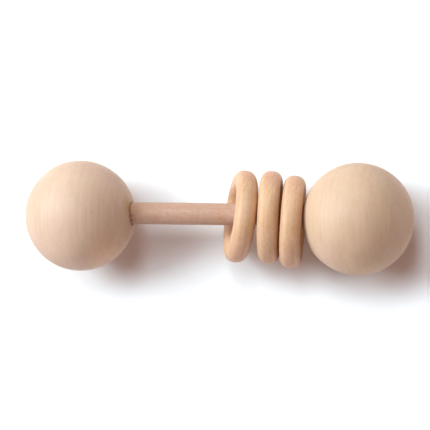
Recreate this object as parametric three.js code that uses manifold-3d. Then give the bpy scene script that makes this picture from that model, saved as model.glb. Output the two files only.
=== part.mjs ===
// A wooden dumbbell baby rattle: two turned balls glued on the ends of a dowel, with three loose rings on the dowel between them.
// Millimetres, +Z up. The origin is on the table under the middle of the rattle. The dowel runs along X.
import * as THREE from "three";
import { mergeVertices } from "three/addons/utils/BufferGeometryUtils.js";
import Module from "manifold-3d";

const wasm = await Module();
wasm.setup();

// ---- driving dimensions ----
const BALL_R = 20; // both balls
const BALL_SPACING = 102; // centre to centre, so the rattle is 142 long
const BALL_SEGMENTS = 32; // round the ball; one facet faces straight down, and the ball rests on it
const BALL_STEPS = 21; // pole to pole; an odd number puts a flat band round the equator

const DOWEL_R = 4;
const DOWEL_Y = 1.1; // the holes are drilled this far off the balls' centres
const DOWEL_SEGMENTS = 48;
const DOWEL_CHAMFER = 0.8;

const SOCKET_R = 4.15; // blind hole in each ball, with a glue line round the dowel
const SOCKET_STOP = 3; // the hole stops this far short of the ball's centre
const SOCKET_END_GAP = 0.5; // glue pocket past the dowel's end
const MOUTH_CHAMFER = 0.35; // broken edge at the hole's mouth

const RING_OD = 33.5;
const RING_AXIAL = 7.8; // the ring's thickness along its own axis
const RING_RADIAL = 7.5; // and from its hole to its rim
const RING_SQUARENESS = 2.25; // superellipse exponent: 2 is round, more is squarer
const RING_SEGMENTS = 60;
const RING_SECTION_POINTS = 18;

// Each ring stands on the table and leans towards the right ball.
// lean: top towards +X. yaw: the +Y side towards +X. x, y: the ring's centre. Degrees and millimetres.
const RINGS = {
  ring_left: { x: 7.45, y: 0.4, lean: 19, yaw: 7, colour: 0xdcb487 },
  ring_middle: { x: 18.42, y: 0.25, lean: 7.8, yaw: 1.9, colour: 0xd9ae80 },
  ring_right: { x: 26.72, y: -1.35, lean: 7.8, yaw: 2.8, colour: 0xd6aa78 },
};

const BALL_WOOD = new THREE.MeshStandardMaterial({
  color: 0xead0b3,
  roughness: 0.62,
  metalness: 0,
});
const DOWEL_WOOD = new THREE.MeshStandardMaterial({
  color: 0xcfa086,
  roughness: 0.66,
  metalness: 0,
});

const rad = THREE.MathUtils.degToRad;
const AXIS_Z = BALL_R; // the dowel's height while the balls rest on the table
const SIDE = BALL_SPACING / 2;

// A lathe's axis is Y; this turns it to X, with the profile's y pointing along +X.
function lathe(profile, segments) {
  const points = profile.map(([along, radius]) => new THREE.Vector2(radius, along));
  const g = new THREE.LatheGeometry(points, segments, Math.PI / segments, 2 * Math.PI);
  return g.rotateZ(-Math.PI / 2);
}

// One closed body with shared vertices, ready for manifold-3d.
function solid(geometry) {
  const g = geometry.clone();
  g.deleteAttribute("normal");
  g.deleteAttribute("uv");
  const merged = mergeVertices(g, 1e-4);
  return new wasm.Manifold(
    new wasm.Mesh({
      numProp: 3,
      vertProperties: new Float32Array(merged.attributes.position.array),
      triVerts: new Uint32Array(merged.index.array),
    }),
  );
}

function geometryOf(manifold) {
  const m = manifold.getMesh();
  const position = new Float32Array(m.numVert * 3);
  for (let i = 0; i < m.numVert; i++)
    position.set(m.vertProperties.subarray(i * m.numProp, i * m.numProp + 3), i * 3);
  const g = new THREE.BufferGeometry();
  g.setAttribute("position", new THREE.BufferAttribute(position, 3));
  g.setIndex(new THREE.BufferAttribute(new Uint32Array(m.triVerts), 1));
  g.computeVertexNormals();
  return g;
}

// ---- balls ----
// The facets touch the true sphere at their middles on the equator, where the ball rests; the poles lie on the sphere.
function ballBlank() {
  const step = Math.PI / BALL_STEPS;
  const vertexR = BALL_R / Math.cos(step / 2) / Math.cos(Math.PI / BALL_SEGMENTS);
  const profile = [];
  for (let i = 0; i <= BALL_STEPS; i++) {
    const a = -Math.PI / 2 + i * step;
    const pole = i === 0 || i === BALL_STEPS;
    profile.push([(pole ? BALL_R : vertexR) * Math.sin(a), pole ? 0 : vertexR * Math.cos(a)]);
  }
  return lathe(profile, BALL_SEGMENTS);
}

// The blind hole with its broken edge, as a cutter that comes in along +X: inward is -1 or +1 along X, towards the dowel's middle.
function socketCutter(inward) {
  const mouthR = SOCKET_R + MOUTH_CHAMFER;
  const mouth = Math.sqrt(BALL_R ** 2 - mouthR ** 2);
  const profile = [
    [SOCKET_STOP, 0],
    [SOCKET_STOP, SOCKET_R],
    [mouth - MOUTH_CHAMFER, SOCKET_R],
    [mouth + 1.2, SOCKET_R + MOUTH_CHAMFER + 1.2],
    [BALL_R + 3, SOCKET_R + MOUTH_CHAMFER + 1.2],
    [BALL_R + 3, 0],
  ];
  const g = lathe(profile, DOWEL_SEGMENTS);
  if (inward < 0) g.rotateY(Math.PI);
  return g.translate(0, DOWEL_Y, 0);
}

function ball(name, side) {
  const cut = solid(ballBlank()).subtract(solid(socketCutter(-side)));
  const mesh = new THREE.Mesh(geometryOf(cut), BALL_WOOD);
  mesh.name = name;
  mesh.position.set(side * SIDE, 0, AXIS_Z);
  return mesh;
}

// ---- dowel ----
function dowel() {
  const end = SIDE - SOCKET_STOP - SOCKET_END_GAP;
  const profile = [
    [-end, 0],
    [-end, DOWEL_R - DOWEL_CHAMFER],
    [-end + DOWEL_CHAMFER, DOWEL_R],
    [end - DOWEL_CHAMFER, DOWEL_R],
    [end, DOWEL_R - DOWEL_CHAMFER],
    [end, 0],
  ];
  const mesh = new THREE.Mesh(lathe(profile, DOWEL_SEGMENTS), DOWEL_WOOD);
  mesh.name = "dowel";
  mesh.position.set(0, DOWEL_Y, AXIS_Z);
  return mesh;
}

// ---- rings ----
function ringGeometry() {
  const middleR = (RING_OD - RING_RADIAL) / 2;
  const profile = [];
  for (let i = 0; i <= RING_SECTION_POINTS; i++) {
    const a = (2 * Math.PI * (i % RING_SECTION_POINTS)) / RING_SECTION_POINTS;
    const c = Math.cos(a);
    const s = Math.sin(a);
    const k = (Math.abs(c) ** RING_SQUARENESS + Math.abs(s) ** RING_SQUARENESS) ** (-1 / RING_SQUARENESS);
    profile.push([(RING_AXIAL / 2) * k * s, middleR + (RING_RADIAL / 2) * k * c]);
  }
  return lathe(profile, RING_SEGMENTS);
}

function ring(name, { x, y, lean, yaw, colour }) {
  const wood = new THREE.MeshStandardMaterial({ color: colour, roughness: 0.58, metalness: 0 });
  const mesh = new THREE.Mesh(ringGeometry(), wood);
  mesh.name = name;
  mesh.rotation.set(0, rad(lean), -rad(yaw), "ZYX");
  mesh.position.set(x, y, 0);
  mesh.updateMatrixWorld(true);
  const lowest = new THREE.Box3().setFromObject(mesh, true).min.z;
  mesh.position.z = -lowest + 0.01; // the ring stands on the table
  return mesh;
}

const rattle = new THREE.Group();
rattle.name = "baby_rattle";
rattle.add(ball("left_ball", -1), ball("right_ball", 1), dowel());
for (const [name, place] of Object.entries(RINGS)) rattle.add(ring(name, place));

export default rattle;
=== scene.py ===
import math

import bpy
import numpy as np
from mathutils import Matrix, Vector


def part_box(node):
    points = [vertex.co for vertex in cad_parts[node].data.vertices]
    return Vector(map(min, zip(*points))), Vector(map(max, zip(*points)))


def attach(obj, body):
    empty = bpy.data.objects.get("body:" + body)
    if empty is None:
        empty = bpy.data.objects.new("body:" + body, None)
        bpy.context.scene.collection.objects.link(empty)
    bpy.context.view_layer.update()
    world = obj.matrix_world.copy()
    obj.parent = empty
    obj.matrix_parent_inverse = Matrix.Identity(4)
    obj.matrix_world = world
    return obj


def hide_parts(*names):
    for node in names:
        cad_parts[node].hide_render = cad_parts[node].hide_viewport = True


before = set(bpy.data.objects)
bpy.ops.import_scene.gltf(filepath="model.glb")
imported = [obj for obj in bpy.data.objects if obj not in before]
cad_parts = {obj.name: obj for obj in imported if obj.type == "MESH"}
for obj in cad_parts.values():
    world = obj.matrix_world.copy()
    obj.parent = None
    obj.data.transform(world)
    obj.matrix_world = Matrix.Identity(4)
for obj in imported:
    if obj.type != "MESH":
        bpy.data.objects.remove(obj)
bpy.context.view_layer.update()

# ---- the object's own dimensions, in millimetres, as the CAD has them ----
BALL_R = 20.0
SIDE = 51.0
AXIS_Z = 20.0
DOWEL_R = 4.0
DOWEL_Y = 1.1
DOWEL_END = 47.5
SOCKET_R = 4.15
SOCKET_STOP = 3.0
RING_OD, RING_AXIAL, RING_RADIAL, SQUARENESS = 33.5, 7.8, 7.5, 2.25
RINGS = {  # lean and yaw, in degrees
    "ring_left": (19.0, 7.0),
    "ring_middle": (7.8, 1.9),
    "ring_right": (7.8, 2.8),
}
MM = 0.001


# ---- smooth seeded noise for shapes ----
class Waves:
    """A sum of a few sine waves in random directions: smooth, repeatable, about -1 to 1."""

    def __init__(self, seed, size_mm, count=9):
        rng = np.random.default_rng(seed)
        d = rng.normal(size=(count, 3))
        d /= np.linalg.norm(d, axis=1)[:, None]
        self.k = d * (2 * np.pi / (size_mm * rng.uniform(0.7, 1.5, count)))[:, None]
        self.p = rng.uniform(0, 2 * np.pi, count)
        self.n = count

    def __call__(self, pts):
        return np.sin(pts @ self.k.T + self.p).sum(-1) / math.sqrt(self.n)


def smooth(x, lo, hi):
    t = np.clip((x - lo) / (hi - lo), 0, 1)
    return t * t * (3 - 2 * t)


def grid_mesh(name, rows, close_rows, cap_start=None, cap_end=None, flip=False):
    """rows is (n_rows, n_cols, 3) in mm; columns always close on themselves."""
    n, m = rows.shape[:2]
    verts = [tuple(v * MM) for v in rows.reshape(-1, 3)]
    faces = []
    last = n if close_rows else n - 1
    for i in range(last):
        for j in range(m):
            a, b = i * m + j, i * m + (j + 1) % m
            c, d = ((i + 1) % n) * m + (j + 1) % m, ((i + 1) % n) * m + j
            faces.append((a, b, c, d))
    if cap_start is not None:
        verts.append(tuple(np.array(cap_start) * MM))
        k = len(verts) - 1
        faces += [(k, (j + 1) % m, j) for j in range(m)]
    if cap_end is not None:
        verts.append(tuple(np.array(cap_end) * MM))
        k = len(verts) - 1
        o = (n - 1) * m
        faces += [(k, o + j, o + (j + 1) % m) for j in range(m)]
    if flip:
        faces = [tuple(reversed(f)) for f in faces]
    mesh = bpy.data.meshes.new(name)
    mesh.from_pydata(verts, [], faces)
    mesh.validate()
    mesh.polygons.foreach_set("use_smooth", [True] * len(mesh.polygons))
    mesh.update()
    obj = bpy.data.objects.new(name, mesh)
    bpy.context.scene.collection.objects.link(obj)
    return obj


# ---- balls ----
def ball(name, side, seed, chip=None, mouth_wear=0.25):
    """A turned ball, its socket towards the dowel's middle. Built with the socket towards +X, then mirrored for the right ball.
    chip: (angle round the dowel from +Y towards +Z in degrees, reach in mm) of a torn patch at the mouth."""
    cols = 176
    phi = np.linspace(0, 2 * np.pi, cols, endpoint=False)
    c, s = np.cos(phi), np.sin(phi)
    wobble = Waves(seed, 9.0)
    # how far the mouth's broken edge reaches at each angle
    at = np.stack([c * 6, s * 6, np.zeros(cols)], 1)
    edge = 0.34 + mouth_wear * (0.5 + 0.5 * wobble(at))
    deg = np.degrees(phi)
    edge = edge * (0.42 + 0.78 * smooth(deg, 62, 105) * (1 - smooth(deg, 250, 330)))  # closest where the glue filled it
    if chip:
        off = (phi - math.radians(chip[0]) + np.pi) % (2 * np.pi) - np.pi
        edge = edge + 0.12 * np.exp(-((off / 0.5) ** 2)) * (1 + 0.35 * Waves(seed + 5, 1.6)(at))
    r_out = SOCKET_R + edge

    def on_sphere(r):
        y, z = DOWEL_Y + r * c, r * s
        return np.stack([np.sqrt(BALL_R**2 - y**2 - z**2), y, z], 1)

    start = on_sphere(r_out)
    a = start / BALL_R
    pole = np.array([-1.0, 0, 0])
    rows = []
    outer = 104
    for i in range(outer):  # from next to the far pole to the mouth
        t = 1 - ((i + 1) / outer)
        t = t**1.12
        ang = np.arccos(np.clip(a @ pole, -1, 1))
        so = np.sin(ang)
        d = (np.sin((1 - t) * ang) / so)[:, None] * a + (np.sin(t * ang) / so)[:, None] * pole
        d /= np.linalg.norm(d, axis=1)[:, None]
        p = d * BALL_R
        if chip:  # a shallow torn dent beside the mouth
            ca, reach = math.radians(chip[0]), chip[1]
            centre = np.array([0, DOWEL_Y + (SOCKET_R + 1.0) * math.cos(ca), (SOCKET_R + 1.0) * math.sin(ca)])
            q = p[:, 1:] - centre[1:]
            near = np.hypot(q[:, 0], q[:, 1]) * (1 + 0.22 * Waves(seed + 9, 2.4)(p))
            dent = 0.16 * (1 - smooth(near, 0.2, reach)) * (p[:, 0] > 0)
            p = p - d * dent[:, None]
        rows.append(p)
    mouth = rows[-1].copy()
    # rounded edge into the hole
    for k in (0.12, 0.3, 0.5, 0.7, 0.88, 1.0):
        ang = k * np.pi / 2
        r = SOCKET_R + edge * (1 - math.sin(ang))
        depth = 0.55 * (1 - math.cos(ang)) + 0.12 * k
        rows.append(np.stack([mouth[:, 0] - depth, DOWEL_Y + r * c, r * s], 1))
    for x in (17.0, 14.0, 9.0, SOCKET_STOP + 0.4, SOCKET_STOP):
        r = SOCKET_R if x > SOCKET_STOP else SOCKET_R - 0.4
        rows.append(np.stack([np.full(cols, x), DOWEL_Y + r * c, r * s], 1))
    rows = np.array(rows)
    cap0, cap1 = np.array([-BALL_R, 0, 0.0]), np.array([SOCKET_STOP, DOWEL_Y, 0.0])
    flip = False
    if side > 0:  # socket towards -X
        rows[..., 0] *= -1
        cap0[0] *= -1
        cap1[0] *= -1
        flip = True
    obj = grid_mesh(name, rows, False, cap0, cap1, flip=flip)
    obj.location = Vector((side * SIDE, 0, AXIS_Z)) * MM
    return obj


# ---- dowel ----
def dowel():
    cols = 96
    phi = np.linspace(0, 2 * np.pi, cols, endpoint=False)
    c, s = np.cos(phi), np.sin(phi)
    flat = Waves(41, 30.0)
    profile = []
    for k in np.linspace(0, 1, 5):
        ang = k * np.pi / 2
        profile.append((-DOWEL_END + 0.8 * (1 - math.sin(ang)), DOWEL_R - 0.8 + 0.8 * math.sin(ang), ang))
    profile = [(-DOWEL_END, DOWEL_R - 0.8), (-DOWEL_END + 0.1, DOWEL_R - 0.4), (-DOWEL_END + 0.35, DOWEL_R - 0.13), (-DOWEL_END + 0.8, DOWEL_R)]
    xs = np.linspace(-DOWEL_END + 1.8, DOWEL_END - 1.8, 90)
    profile += [(x, DOWEL_R) for x in xs]
    profile += [(DOWEL_END - 0.8, DOWEL_R), (DOWEL_END - 0.35, DOWEL_R - 0.13), (DOWEL_END - 0.1, DOWEL_R - 0.4), (DOWEL_END, DOWEL_R - 0.8)]
    rows = []
    for x, r in profile:
        p = np.stack([np.full(cols, x), r * c, r * s], 1)
        rr = r - 0.012 - 0.02 * (1 + np.tanh(flat(p)))  # hand sanding: never proud of the CAD dowel
        rows.append(np.stack([np.full(cols, x), rr * c, rr * s], 1))
    obj = grid_mesh("dowel_rod", np.array(rows), False, (-DOWEL_END, 0, 0), (DOWEL_END, 0, 0), flip=True)
    obj.location = Vector((0, DOWEL_Y, AXIS_Z)) * MM
    return obj


# ---- rings ----
def ring_turn(node):
    """How the ring stands: its own X axis is the hole's axis."""
    lean, yaw = RINGS[node]
    return Matrix.Rotation(-math.radians(yaw), 3, "Z") @ Matrix.Rotation(math.radians(lean), 3, "Y")


def ring(node, seed):
    cols, rows_n = 64, 224
    t = np.linspace(0, 2 * np.pi, cols, endpoint=False)
    ct, st = np.cos(t), np.sin(t)
    k = (np.abs(ct) ** SQUARENESS + np.abs(st) ** SQUARENESS) ** (-1 / SQUARENESS)
    radial, axial = RING_RADIAL / 2 * k * ct, RING_AXIAL / 2 * k * st
    mid = (RING_OD - RING_RADIAL) / 2
    uneven = Waves(seed, 14.0)
    rows = []
    for i in range(rows_n):
        a = 2 * np.pi * i / rows_n
        p = np.stack([axial, (mid + radial) * math.sin(a), (mid + radial) * math.cos(a)], 1)
        centre = np.array([0, mid * math.sin(a), mid * math.cos(a)])
        shrink = 1 - 0.006 * (1 + np.tanh(uneven(p)))[:, None]  # sanded by hand: never proud of the CAD ring
        rows.append((centre + (p - centre) * shrink) * 0.9972)
    turn = ring_turn(node)
    obj = grid_mesh(node + "_wood", np.array(rows) @ np.array(turn).T, True)
    lo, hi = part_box(node)
    obj.location = (Vector(lo) + Vector(hi)) / 2
    return obj


# ---- wood ----
def rgb(r, g, b):
    return (r, g, b, 1.0)


class Nodes:
    """Short names for building a node tree."""

    def __init__(self, name):
        self.mat = bpy.data.materials.new(name)
        self.mat.use_nodes = True
        self.t = self.mat.node_tree
        self.t.nodes.clear()
        self.out = self.t.nodes.new("ShaderNodeOutputMaterial")
        self.bsdf = self.t.nodes.new("ShaderNodeBsdfPrincipled")
        self.link(self.bsdf.outputs["BSDF"], self.out.inputs["Surface"])

    def link(self, a, b):
        self.t.links.new(a, b)

    def put(self, socket, value):
        if isinstance(value, bpy.types.NodeSocket):
            self.link(value, socket)
        else:
            socket.default_value = value

    def math(self, op, a, b=None, c=None, clamp=False):
        n = self.t.nodes.new("ShaderNodeMath")
        n.operation, n.use_clamp = op, clamp
        for i, v in enumerate((a, b, c)):
            if v is not None:
                self.put(n.inputs[i], v)
        return n.outputs[0]

    def dot(self, v, axis):
        n = self.t.nodes.new("ShaderNodeVectorMath")
        n.operation = "DOT_PRODUCT"
        self.put(n.inputs[0], v)
        n.inputs[1].default_value = axis
        return n.outputs["Value"]

    def xyz(self, x, y, z):
        n = self.t.nodes.new("ShaderNodeCombineXYZ")
        for i, v in enumerate((x, y, z)):
            self.put(n.inputs[i], v)
        return n.outputs[0]

    def noise(self, v, scale, detail=2.0, rough=0.5, distortion=0.0):
        n = self.t.nodes.new("ShaderNodeTexNoise")
        self.put(n.inputs["Vector"], v)
        n.inputs["Scale"].default_value = scale
        n.inputs["Detail"].default_value = detail
        n.inputs["Roughness"].default_value = rough
        n.inputs["Distortion"].default_value = distortion
        return n.outputs["Fac"]

    def voronoi(self, v, scale, randomness=1.0):
        n = self.t.nodes.new("ShaderNodeTexVoronoi")
        self.put(n.inputs["Vector"], v)
        n.inputs["Scale"].default_value = scale
        n.inputs["Randomness"].default_value = randomness
        return n

    def ramp(self, x, stops, ease="EASE"):
        n = self.t.nodes.new("ShaderNodeValToRGB")
        n.color_ramp.interpolation = ease
        e = n.color_ramp.elements
        while len(e) < len(stops):
            e.new(0.5)
        for el, (pos, val) in zip(e, stops):
            el.position = pos
            el.color = val if isinstance(val, tuple) else (val, val, val, 1)
        self.put(n.inputs[0], x)
        return n.outputs["Color"]

    def mix(self, kind, fac, a, b):
        n = self.t.nodes.new("ShaderNodeMix")
        n.data_type = "RGBA"
        n.blend_type = kind
        self.put(n.inputs[0], fac)
        self.put(n.inputs[6], a)
        self.put(n.inputs[7], b)
        return n.outputs[2]

    def bump(self, height, strength, distance, normal=None):
        n = self.t.nodes.new("ShaderNodeBump")
        n.inputs["Strength"].default_value = strength
        n.inputs["Distance"].default_value = distance
        self.put(n.inputs["Height"], height)
        if normal is not None:
            self.link(normal, n.inputs["Normal"])
        return n.outputs["Normal"]


def wood(
    name,
    grain,
    layers,
    early,
    late,
    offset=(0, 0, 0),
    spacing=1.7,
    ring_contrast=0.5,
    warp=1.2,
    fibre=0.35,
    pores=0.25,
    pore_size=1.0,
    painted_flank_shading=0.0,
    blotch=0.35,
    end=0.25,
    end_tint=(0.93, 0.83, 0.84),
    mottle=0.2,
    hue=0.5,
    turned=0.0,
    rough=0.56,
    patch=None,
    specks=(),
    turn=None,
):
    """Solid wood through the whole piece. grain is the fibres' direction and layers the way the growth layers follow
    one another, both in the piece's own axes.
    early and late are the two ends of the colour. turned: how much the lathe's sanding marks round the piece's X axis
    show.
    patch: stains, and painted light and shade (centre mm, radius mm, tint, amount); specks: small dark marks (centre
    mm, radius mm, amount).
    turn: how the piece's own axes are turned in its mesh."""
    n = Nodes(name)
    tc = n.t.nodes.new("ShaderNodeTexCoord")
    mm = n.t.nodes.new("ShaderNodeVectorMath")
    mm.operation = "SCALE"
    n.link(tc.outputs["Object"], mm.inputs[0])
    mm.inputs["Scale"].default_value = 1000.0
    here = mm.outputs[0]
    turn = turn or Matrix.Identity(3)
    here = n.xyz(*(n.dot(here, turn @ Vector(axis)) for axis in ((1, 0, 0), (0, 1, 0), (0, 0, 1))))
    shift = n.t.nodes.new("ShaderNodeVectorMath")
    shift.operation = "ADD"
    n.link(here, shift.inputs[0])
    shift.inputs[1].default_value = offset
    p = shift.outputs[0]

    g = Vector(grain).normalized()
    u = (Vector(layers) - g * Vector(layers).dot(g)).normalized()
    v = g.cross(u)
    a, b, w = n.dot(p, u), n.dot(p, v), n.dot(p, g)

    # growth layers: wide arcs round a pith that is far off the piece, wandering slowly along the grain
    slow = n.xyz(n.math("MULTIPLY", a, 0.05), n.math("MULTIPLY", b, 0.05), n.math("MULTIPLY", w, 0.018))
    wander = n.math("SUBTRACT", n.noise(slow, 1.0, 2.0, 0.45), 0.5)
    r = n.math("SQRT", n.math("ADD", n.math("POWER", n.math("ADD", a, 85.0), 2.0), n.math("POWER", b, 2.0)))
    phase = n.math("ADD", n.math("DIVIDE", r, spacing), n.math("MULTIPLY", wander, warp * 6 / spacing))
    uneven = n.math("MULTIPLY", n.math("SUBTRACT", n.noise(n.xyz(n.math("MULTIPLY", phase, 0.31), 0.0, 0.0), 1.0, 1.0), 0.5), 1.6)
    saw = n.math("FRACT", n.math("ADD", phase, uneven))
    layer = n.ramp(saw, [(0.0, 0.15), (0.55, 0.35), (0.86, 1.0), (1.0, 0.15)], "B_SPLINE")

    # fibres: long thin streaks along the grain
    fine = n.xyz(n.math("MULTIPLY", a, 1.9), n.math("MULTIPLY", b, 1.9), n.math("MULTIPLY", w, 0.075))
    coarse = n.xyz(n.math("MULTIPLY", a, 0.62), n.math("MULTIPLY", b, 0.62), n.math("MULTIPLY", w, 0.028))
    streak_f = n.noise(fine, 1.0, 4.0, 0.62)
    streak_c = n.noise(coarse, 1.0, 3.0, 0.55)
    streak = n.math("ADD", n.math("MULTIPLY", streak_f, 0.55), n.math("MULTIPLY", streak_c, 0.45))
    streak = n.ramp(streak, [(0.34, 0.0), (0.66, 1.0)], "EASE")

    # broad, soft changes of tone
    cloud = n.noise(n.xyz(n.math("MULTIPLY", a, 0.1), n.math("MULTIPLY", b, 0.1), n.math("MULTIPLY", w, 0.045)), 1.0, 2.0, 0.5)
    cloud = n.ramp(cloud, [(0.3, 0.0), (0.7, 1.0)], "EASE")

    # sanding marks left by the lathe: they follow circles round the piece's own X axis
    ox, oy, oz = n.dot(here, (1, 0, 0)), n.dot(here, (0, 1, 0)), n.dot(here, (0, 0, 1))
    radius = n.math("SQRT", n.math("ADD", n.math("POWER", oy, 2.0), n.math("POWER", oz, 2.0)))
    lathe = n.noise(n.xyz(n.math("MULTIPLY", ox, 1.15), n.math("MULTIPLY", radius, 1.15), n.math("MULTIPLY", oy, 0.03)), 1.0, 3.0, 0.6)
    lathe_soft = n.ramp(lathe, [(0.32, 0.0), (0.68, 1.0)], "EASE")

    # small soft mottling in every direction
    spots = n.noise(n.xyz(n.math("MULTIPLY", a, 1.15), n.math("MULTIPLY", b, 1.15), n.math("MULTIPLY", w, 0.62)), 1.0, 3.0, 0.6)
    spots = n.ramp(spots, [(0.33, 0.0), (0.67, 1.0)], "EASE")

    tone, total = n.math("MULTIPLY", layer, ring_contrast), ring_contrast
    for part, weight in ((streak, fibre), (cloud, blotch), (spots, mottle), (lathe_soft, turned)):
        if weight:
            tone = n.math("ADD", tone, n.math("MULTIPLY", part, weight))
            total += weight
    tone = n.math("DIVIDE", tone, total, clamp=True)
    tone = n.ramp(tone, [(0.14, 0.0), (0.86, 1.0)], "LINEAR")
    colour = n.mix("MIX", tone, rgb(*early), rgb(*late))

    # the wood runs from a little pinker to a little more olive
    shade = n.noise(n.xyz(n.math("MULTIPLY", a, 0.085), n.math("MULTIPLY", b, 0.085), n.math("MULTIPLY", w, 0.06)), 1.0, 2.5, 0.55)
    shade = n.ramp(shade, [(0.34, rgb(1.0, 0.955, 0.955)), (0.66, rgb(0.965, 0.985, 0.9))], "EASE")
    colour = n.mix("MULTIPLY", hue, colour, shade)

    # pores and ray flecks: short dark dashes along the grain, dots where the grain ends
    cell = n.xyz(
        n.math("MULTIPLY", a, 2.6 / pore_size), n.math("MULTIPLY", b, 2.6 / pore_size), n.math("MULTIPLY", w, 0.55 / pore_size)
    )
    vor = n.voronoi(cell, 1.0)
    dash = n.ramp(vor.outputs["Distance"], [(0.0, 1.0), (0.13, 0.75), (0.24, 0.0)], "EASE")
    sparse = n.ramp(n.noise(n.xyz(n.math("MULTIPLY", a, 0.5), n.math("MULTIPLY", b, 0.5), n.math("MULTIPLY", w, 0.2)), 1.0, 1.0), [(0.42, 0.0), (0.62, 1.0)], "EASE")
    dash = n.math("MULTIPLY", dash, sparse)
    dark = tuple(c * k for c, k in zip(late, (0.62, 0.5, 0.42)))
    colour = n.mix("MIX", n.math("MULTIPLY", dash, pores), colour, rgb(*dark))

    # end grain drinks more: pinker, and speckled with open pores, where the surface faces along the grain
    geo = n.t.nodes.new("ShaderNodeTexCoord")
    facing = n.math("ABSOLUTE", n.dot(geo.outputs["Normal"], turn @ g))
    ends = n.ramp(facing, [(0.55, 0.0), (0.97, 1.0)], "EASE")
    colour = n.mix("MULTIPLY", n.math("MULTIPLY", ends, end), colour, rgb(*end_tint))
    dots = n.voronoi(n.xyz(n.math("MULTIPLY", a, 3.1), n.math("MULTIPLY", b, 3.1), n.math("MULTIPLY", w, 0.8)), 1.0)
    dots = n.ramp(dots.outputs["Distance"], [(0.0, 1.0), (0.2, 0.6), (0.42, 0.0)], "EASE")
    dots = n.math("MULTIPLY", n.math("MULTIPLY", dots, ends), min(1.0, end * 0.6))
    colour = n.mix("MULTIPLY", dots, colour, rgb(0.72, 0.56, 0.5))

    # painted light and shade on a ring: its right-hand (+X) side is made lighter, and the flank facing the next ring is
    # made darker and redder, a painted shade in the gap between them
    if painted_flank_shading:
        side = n.dot(geo.outputs["Normal"], turn @ Vector((1.0, 0.0, 0.0)))
        painted_light_band = n.ramp(side, [(0.1, 0.0), (0.55, 1.0), (0.9, 0.0)], "EASE")
        painted_contact_shade = n.ramp(side, [(0.9, 0.0), (1.0, 1.0)], "EASE")
        colour = n.mix("MULTIPLY", n.math("MULTIPLY", painted_light_band, painted_flank_shading), colour, rgb(1.09, 1.13, 1.14))
        colour = n.mix("MULTIPLY", n.math("MULTIPLY", painted_contact_shade, painted_flank_shading), colour, rgb(0.75, 0.55, 0.4))

    # stains, and painted light and shade, laid on as soft tinted spots
    for centre, radius_mm, tint, amount in patch or ():
        d = n.t.nodes.new("ShaderNodeVectorMath")
        d.operation = "DISTANCE"
        n.link(here, d.inputs[0])
        d.inputs[1].default_value = centre
        ragged = n.math("MULTIPLY", n.math("SUBTRACT", n.noise(here, 0.8, 3.0, 0.6), 0.5), radius_mm * 0.9)
        m = n.math("DIVIDE", n.math("ADD", d.outputs["Value"], ragged), radius_mm)
        m = n.ramp(m, [(0.1, 1.0), (1.0, 0.0)], "EASE")
        colour = n.mix("MULTIPLY", n.math("MULTIPLY", m, amount), colour, rgb(*tint))
    for centre, radius_mm, amount in specks:
        q = n.t.nodes.new("ShaderNodeVectorMath")
        q.operation = "SUBTRACT"
        n.link(here, q.inputs[0])
        q.inputs[1].default_value = centre
        qv = n.xyz(n.dot(q.outputs[0], u), n.dot(q.outputs[0], v), n.math("MULTIPLY", n.dot(q.outputs[0], g), 0.7))
        ln = n.t.nodes.new("ShaderNodeVectorMath")
        ln.operation = "LENGTH"
        n.link(qv, ln.inputs[0])
        m = n.ramp(n.math("DIVIDE", ln.outputs["Value"], radius_mm * 2), [(0.12, 1.0), (0.5, 0.0)], "EASE")
        colour = n.mix("MULTIPLY", n.math("MULTIPLY", m, amount), colour, rgb(0.74, 0.56, 0.45))

    n.link(colour, n.bsdf.inputs["Base Color"])
    sheen_var = n.math("ADD", n.math("MULTIPLY", streak, 0.08), n.math("MULTIPLY", cloud, 0.05))
    n.link(n.math("ADD", n.math("ADD", sheen_var, n.math("MULTIPLY", dash, 0.15)), rough - 0.06), n.bsdf.inputs["Roughness"])
    n.bsdf.inputs["IOR"].default_value = 1.46
    n.bsdf.inputs["Specular IOR Level"].default_value = 0.42
    n.bsdf.inputs["Subsurface Weight"].default_value = 0.0
    height = n.math("ADD", n.math("MULTIPLY", streak_f, 0.6), n.math("MULTIPLY", layer, -0.25))
    height = n.math("SUBTRACT", height, n.math("MULTIPLY", n.math("ADD", dash, dots), 0.8))
    if turned:
        height = n.math("ADD", height, n.math("MULTIPLY", lathe, 0.9))
    n.link(n.bump(height, 0.35, 0.00006), n.bsdf.inputs["Normal"])
    return n.mat


def give(obj, mat):
    obj.data.materials.clear()
    obj.data.materials.append(mat)


left = ball("left_ball_wood", -1, 11, chip=(68, 2.7), mouth_wear=0.3)
right = ball("right_ball_wood", 1, 23)
rod = dowel()
rings = {name: ring(name, 60 + i * 7) for i, name in enumerate(RINGS)}

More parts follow.
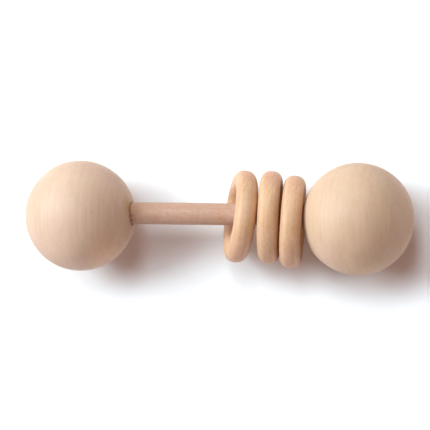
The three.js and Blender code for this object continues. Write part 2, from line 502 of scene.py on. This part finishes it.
MAPLE_EARLY, MAPLE_LATE = (0.665, 0.466, 0.345), (0.58, 0.38, 0.272)
give(
    left,
    wood(
        "left_ball_maple", (0.01, 1, 0.03), (0.968, 0.0, -0.252), MAPLE_EARLY, MAPLE_LATE,
        offset=(3.1, 12.0, 5.0), spacing=2.7, ring_contrast=0.14, warp=0.8, fibre=0.34, pores=0.2, blotch=0.42, mottle=0.1, turned=0.22,
        end=0.2,
        patch=[
            ((18.6, 3.9, 4.5), 5.2, (0.84, 0.8, 0.56), 1.0),  # a yellowed, rubbed place at the mouth
            ((19.1, 2.6, 4.3), 2.2, (0.92, 0.82, 0.64), 0.9),
            ((19.55, 0.4, 4.2), 1.5, (0.6, 0.36, 0.28), 0.9),  # painted shade in the gap where the dowel enters the ball
            ((19.5, -1.4, 3.4), 1.4, (0.66, 0.43, 0.34), 0.9),
            # painted light: the lower side of the ball made lighter and warmer, standing in for bounce light
            ((13.2, -10.6, 10.6), 13.0, (1.02, 0.97, 0.89), 1.0),
            ((-6.0, -14.0, 12.0), 12.0, (1.07, 1.06, 1.08), 1.0),
            ((10.5, -15.0, 8.3), 11.0, (1.12, 1.08, 1.03), 1.0),
        ],
        specks=[((-4.92, -1.86, 19.29), 0.5, 0.3), ((-6.2, -1.5, 18.9), 0.4, 0.2), ((8.69, 1.51, 17.95), 0.5, 0.35), ((7.6, 2.2, 18.3), 0.35, 0.2)],
    ),
)
give(
    right,
    wood(
        "right_ball_maple", (-0.02, 1, 0.02), (0.987, 0.0, -0.163), tuple(c * k for c, k in zip(MAPLE_EARLY, (0.94, 0.915, 0.85))), tuple(c * k for c, k in zip(MAPLE_LATE, (0.94, 0.915, 0.85))),
        offset=(41.0, -7.0, 22.0), spacing=3.1, ring_contrast=0.14, warp=0.8, fibre=0.34, pores=0.2, blotch=0.42, mottle=0.1, turned=0.2,
        end=0.2,
        patch=[
            ((2.2, 5.4, 19.1), 2.6, (0.93, 0.93, 0.8), 0.8),
            # painted light and shade: lighter on the lower left and the bottom, darker on the upper right
            ((-11.0, -11.5, 12.3), 7.0, (1.05, 1.04, 1.1), 1.0),
            ((12.0, 12.0, 10.5), 13.0, (0.94, 0.93, 0.93), 1.0),
            ((1.7, -16.8, 10.8), 9.0, (1.06, 1.1, 1.05), 1.0),
        ],
    ),
)
give(
    rod,
    wood(
        "dowel_beech", (1, 0.01, 0.0), (0, 1, 0.5), (0.517, 0.307, 0.22), (0.437, 0.243, 0.165),
        offset=(7.0, 2.0, 9.0), spacing=2.1, ring_contrast=0.2, fibre=0.4, pores=0.75, pore_size=0.85, blotch=0.3, mottle=0.55, end=0.3,
        patch=[
            ((-28.6, 0.8, 3.9), 2.6, (0.93, 0.87, 0.77), 1.0),
            ((-30.2, 1.4, 3.7), 2.2, (1.1, 0.97, 0.88), 0.9),
            # painted shade: a dark crescent on the dowel where it enters the left ball
            ((-31.7, 0.9, 3.9), 1.1, (0.8, 0.56, 0.45), 0.9),
            ((-31.4, -0.8, 3.8), 1.4, (0.82, 0.58, 0.47), 0.9),
            ((-31.4, -2.4, 3.1), 1.3, (0.84, 0.62, 0.52), 0.9),
            ((-22.5, -1.5, 3.5), 3.0, (0.93, 0.86, 0.8), 0.8),
            ((1.5, -1.0, 3.8), 3.2, (1.02, 0.93, 0.88), 0.9),
        ],
        specks=[
            ((-18.08, 0.38, 3.99), 0.5, 0.35), ((-17.6, -0.4, 3.97), 0.4, 0.3), ((-11.45, 0.46, 3.98), 0.5, 0.3), ((1.03, -0.12, 3.98), 0.4, 0.6),
            ((1.71, -1.54, 3.67), 0.45, 0.7), ((2.48, -0.82, 3.9), 0.35, 0.6), ((3.1, -1.9, 3.5), 0.4, 0.6), ((-6.5, 1.2, 3.8), 0.4, 0.4),
        ],
    ),
)
TAN_EARLY, TAN_LATE = (0.69, 0.425, 0.262), (0.53, 0.295, 0.165)
# Tints per ring, in each ring's own axes. The left ring's first three are painted light and shade: darker on the far
# inside seen through the hole, lighter on the near right side and on the far side below the dowel. The others are the
# wood's own tone.
RING_TINTS_AND_PAINTED_LIGHT = {
    "ring_left": [((-3.45, 6.84, -8.73), 7.0, (0.78, 0.68, 0.6), 1.0), ((2.4, 4.8, 15.3), 3.4, (1.07, 1.1, 1.1), 1.0), ((-2.54, -6.54, -7.62), 6.0, (1.2, 1.24, 1.22), 1.0), ((1.4, -3.5, 16.0), 5.0, (0.96, 0.96, 0.86), 0.9)],
    "ring_middle": [((0.76, -1.08, 16.62), 6.0, (0.99, 0.97, 0.86), 0.9)],
    "ring_right": [((0.49, -2.18, 16.56), 3.5, (0.96, 0.96, 0.82), 0.9), ((0.0, 3.5, 16.4), 4.0, (0.95, 0.95, 0.87), 0.9), ((1.2, -10.0, 12.5), 5.0, (0.92, 0.86, 0.84), 0.8)],
}
for i, (name, obj) in enumerate(rings.items()):
    give(
        obj,
        wood(
            name + "_beech", (0.02, 1, 0.1 * (i - 1)), (1, 0.0, 0.25 - 0.2 * i), TAN_EARLY, TAN_LATE,
            offset=(13.0 * i + 2.0, 5.0 * i, 31.0 * i), spacing=1.9, ring_contrast=0.3, warp=0.8, fibre=0.35, pores=0.45, blotch=0.3, mottle=0.22, turned=0.4,
            end=0.9, end_tint=(0.99, 0.9, 0.93), rough=0.52, painted_flank_shading=0.9, patch=RING_TINTS_AND_PAINTED_LIGHT[name], turn=ring_turn(name),
        ),
    )

for obj, node, body, slot in (
    (left, "left_ball", "handle", "ball_wood"),
    (right, "right_ball", "handle", "ball_wood"),
    (rod, "dowel", "handle", "dowel_wood"),
    (rings["ring_left"], "ring_left", "left_ring", "ring_wood"),
    (rings["ring_middle"], "ring_middle", "middle_ring", "ring_wood"),
    (rings["ring_right"], "ring_right", "right_ring", "ring_wood"),
):
    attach(obj, body)
    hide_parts(node)

# ---- floor ----
floor_mesh = bpy.data.meshes.new("floor")
S = 3.0
floor_mesh.from_pydata([(-S, -S, 0), (S, -S, 0), (S, S, 0), (-S, S, 0)], [], [(0, 1, 2, 3)])
floor = bpy.data.objects.new("floor", floor_mesh)
bpy.context.scene.collection.objects.link(floor)
fm = Nodes("floor_white")
fm.bsdf.inputs["Base Color"].default_value = rgb(0.97, 0.97, 0.97)
fm.bsdf.inputs["Roughness"].default_value = 0.9
fm.bsdf.inputs["Specular IOR Level"].default_value = 0.1
give(floor, fm.mat)

# ---- light ----
scene = bpy.context.scene
scene.view_settings.view_transform = "Standard"
world = bpy.data.worlds.new("studio")
scene.world = world
world.use_nodes = True
bg = world.node_tree.nodes["Background"]
# warm and dim overhead, a pale wall round the horizon and below it
sky = world.node_tree
direction = sky.nodes.new("ShaderNodeTexCoord")
height = sky.nodes.new("ShaderNodeSeparateXYZ")
wall = sky.nodes.new("ShaderNodeValToRGB")
wall.color_ramp.elements[0].position, wall.color_ramp.elements[0].color = 0.055, rgb(0.82, 0.81, 0.8)
wall.color_ramp.elements[1].position, wall.color_ramp.elements[1].color = 0.1, rgb(0.205, 0.086, 0.063)
sky.links.new(direction.outputs["Generated"], height.inputs[0])
sky.links.new(height.outputs["Z"], wall.inputs[0])
sky.links.new(wall.outputs["Color"], bg.inputs["Color"])
bg.inputs["Strength"].default_value = 1.0

# A wide soft source to the left of the rattle, made of overlapping parts, a softer one beyond it and a weak fill from the near side.
LIGHTS = (  # name, azimuth, elevation, strength, apparent size, all but strength in degrees
    ("key", 165.0, 43.0, 0.51, 27.0),
    ("key_low", 150.0, 28.0, 0.31, 24.0),
    ("key_side", 173.0, 30.0, 0.18, 22.0),
    ("key_high", 142.0, 52.0, 0.33, 28.0),
    ("top", 92.0, 67.0, 0.23, 22.0),
    ("top_low", 93.0, 52.0, 0.2, 20.0),
    ("fill", 256.0, 18.0, 0.12, 26.0),
)
for name, azimuth, elevation, strength, wide in LIGHTS:
    lamp = bpy.data.lights.new(name, "SUN")
    lamp.energy = math.pi * strength
    lamp.color = (0.84, 1.0, 1.07)
    lamp.angle = math.radians(wide)
    lamp_obj = bpy.data.objects.new(name, lamp)
    scene.collection.objects.link(lamp_obj)
    ka, ke = math.radians(azimuth), math.radians(elevation)
    to_light = Vector((math.cos(ka) * math.cos(ke), math.sin(ka) * math.cos(ke), math.sin(ke)))
    lamp_obj.rotation_mode = "QUATERNION"
    lamp_obj.rotation_quaternion = to_light.to_track_quat("Z", "Y")

# ---- camera: looks down on the table from a little to the right ----
YAW, ROLL, DISTANCE, FOCAL_PX = math.radians(12.0), math.radians(0.68), 1.1, 3060.54
look = Vector((-math.sin(YAW), 0, -math.cos(YAW)))
rt, up = Vector((math.cos(YAW), 0, -math.sin(YAW))), Vector((0, 1, 0))
r2 = rt * math.cos(ROLL) + up * math.sin(ROLL)
u2 = up * math.cos(ROLL) - rt * math.sin(ROLL)
CENTRE_X, CENTRE_Y = 217.46, 216.73  # where the middle of the rattle falls in a 430 x 430 frame
aim = Vector((0, 0, AXIS_Z * MM))
aim = aim - r2 * ((CENTRE_X - 214.5) / FOCAL_PX * DISTANCE) + u2 * ((CENTRE_Y - 214.5) / FOCAL_PX * DISTANCE)
cam_data = bpy.data.cameras.new("camera")
cam_data.sensor_width = 36.0
cam_data.lens = FOCAL_PX / 430 * 36.0
cam_data.dof.use_dof = False
cam_data.clip_start, cam_data.clip_end = 0.05, 20
cam = bpy.data.objects.new("camera", cam_data)
scene.collection.objects.link(cam)
m = Matrix((r2, u2, -look)).transposed().to_4x4()
m.translation = aim - look * DISTANCE
cam.matrix_world = m
scene.camera = cam

bpy.context.view_layer.update()
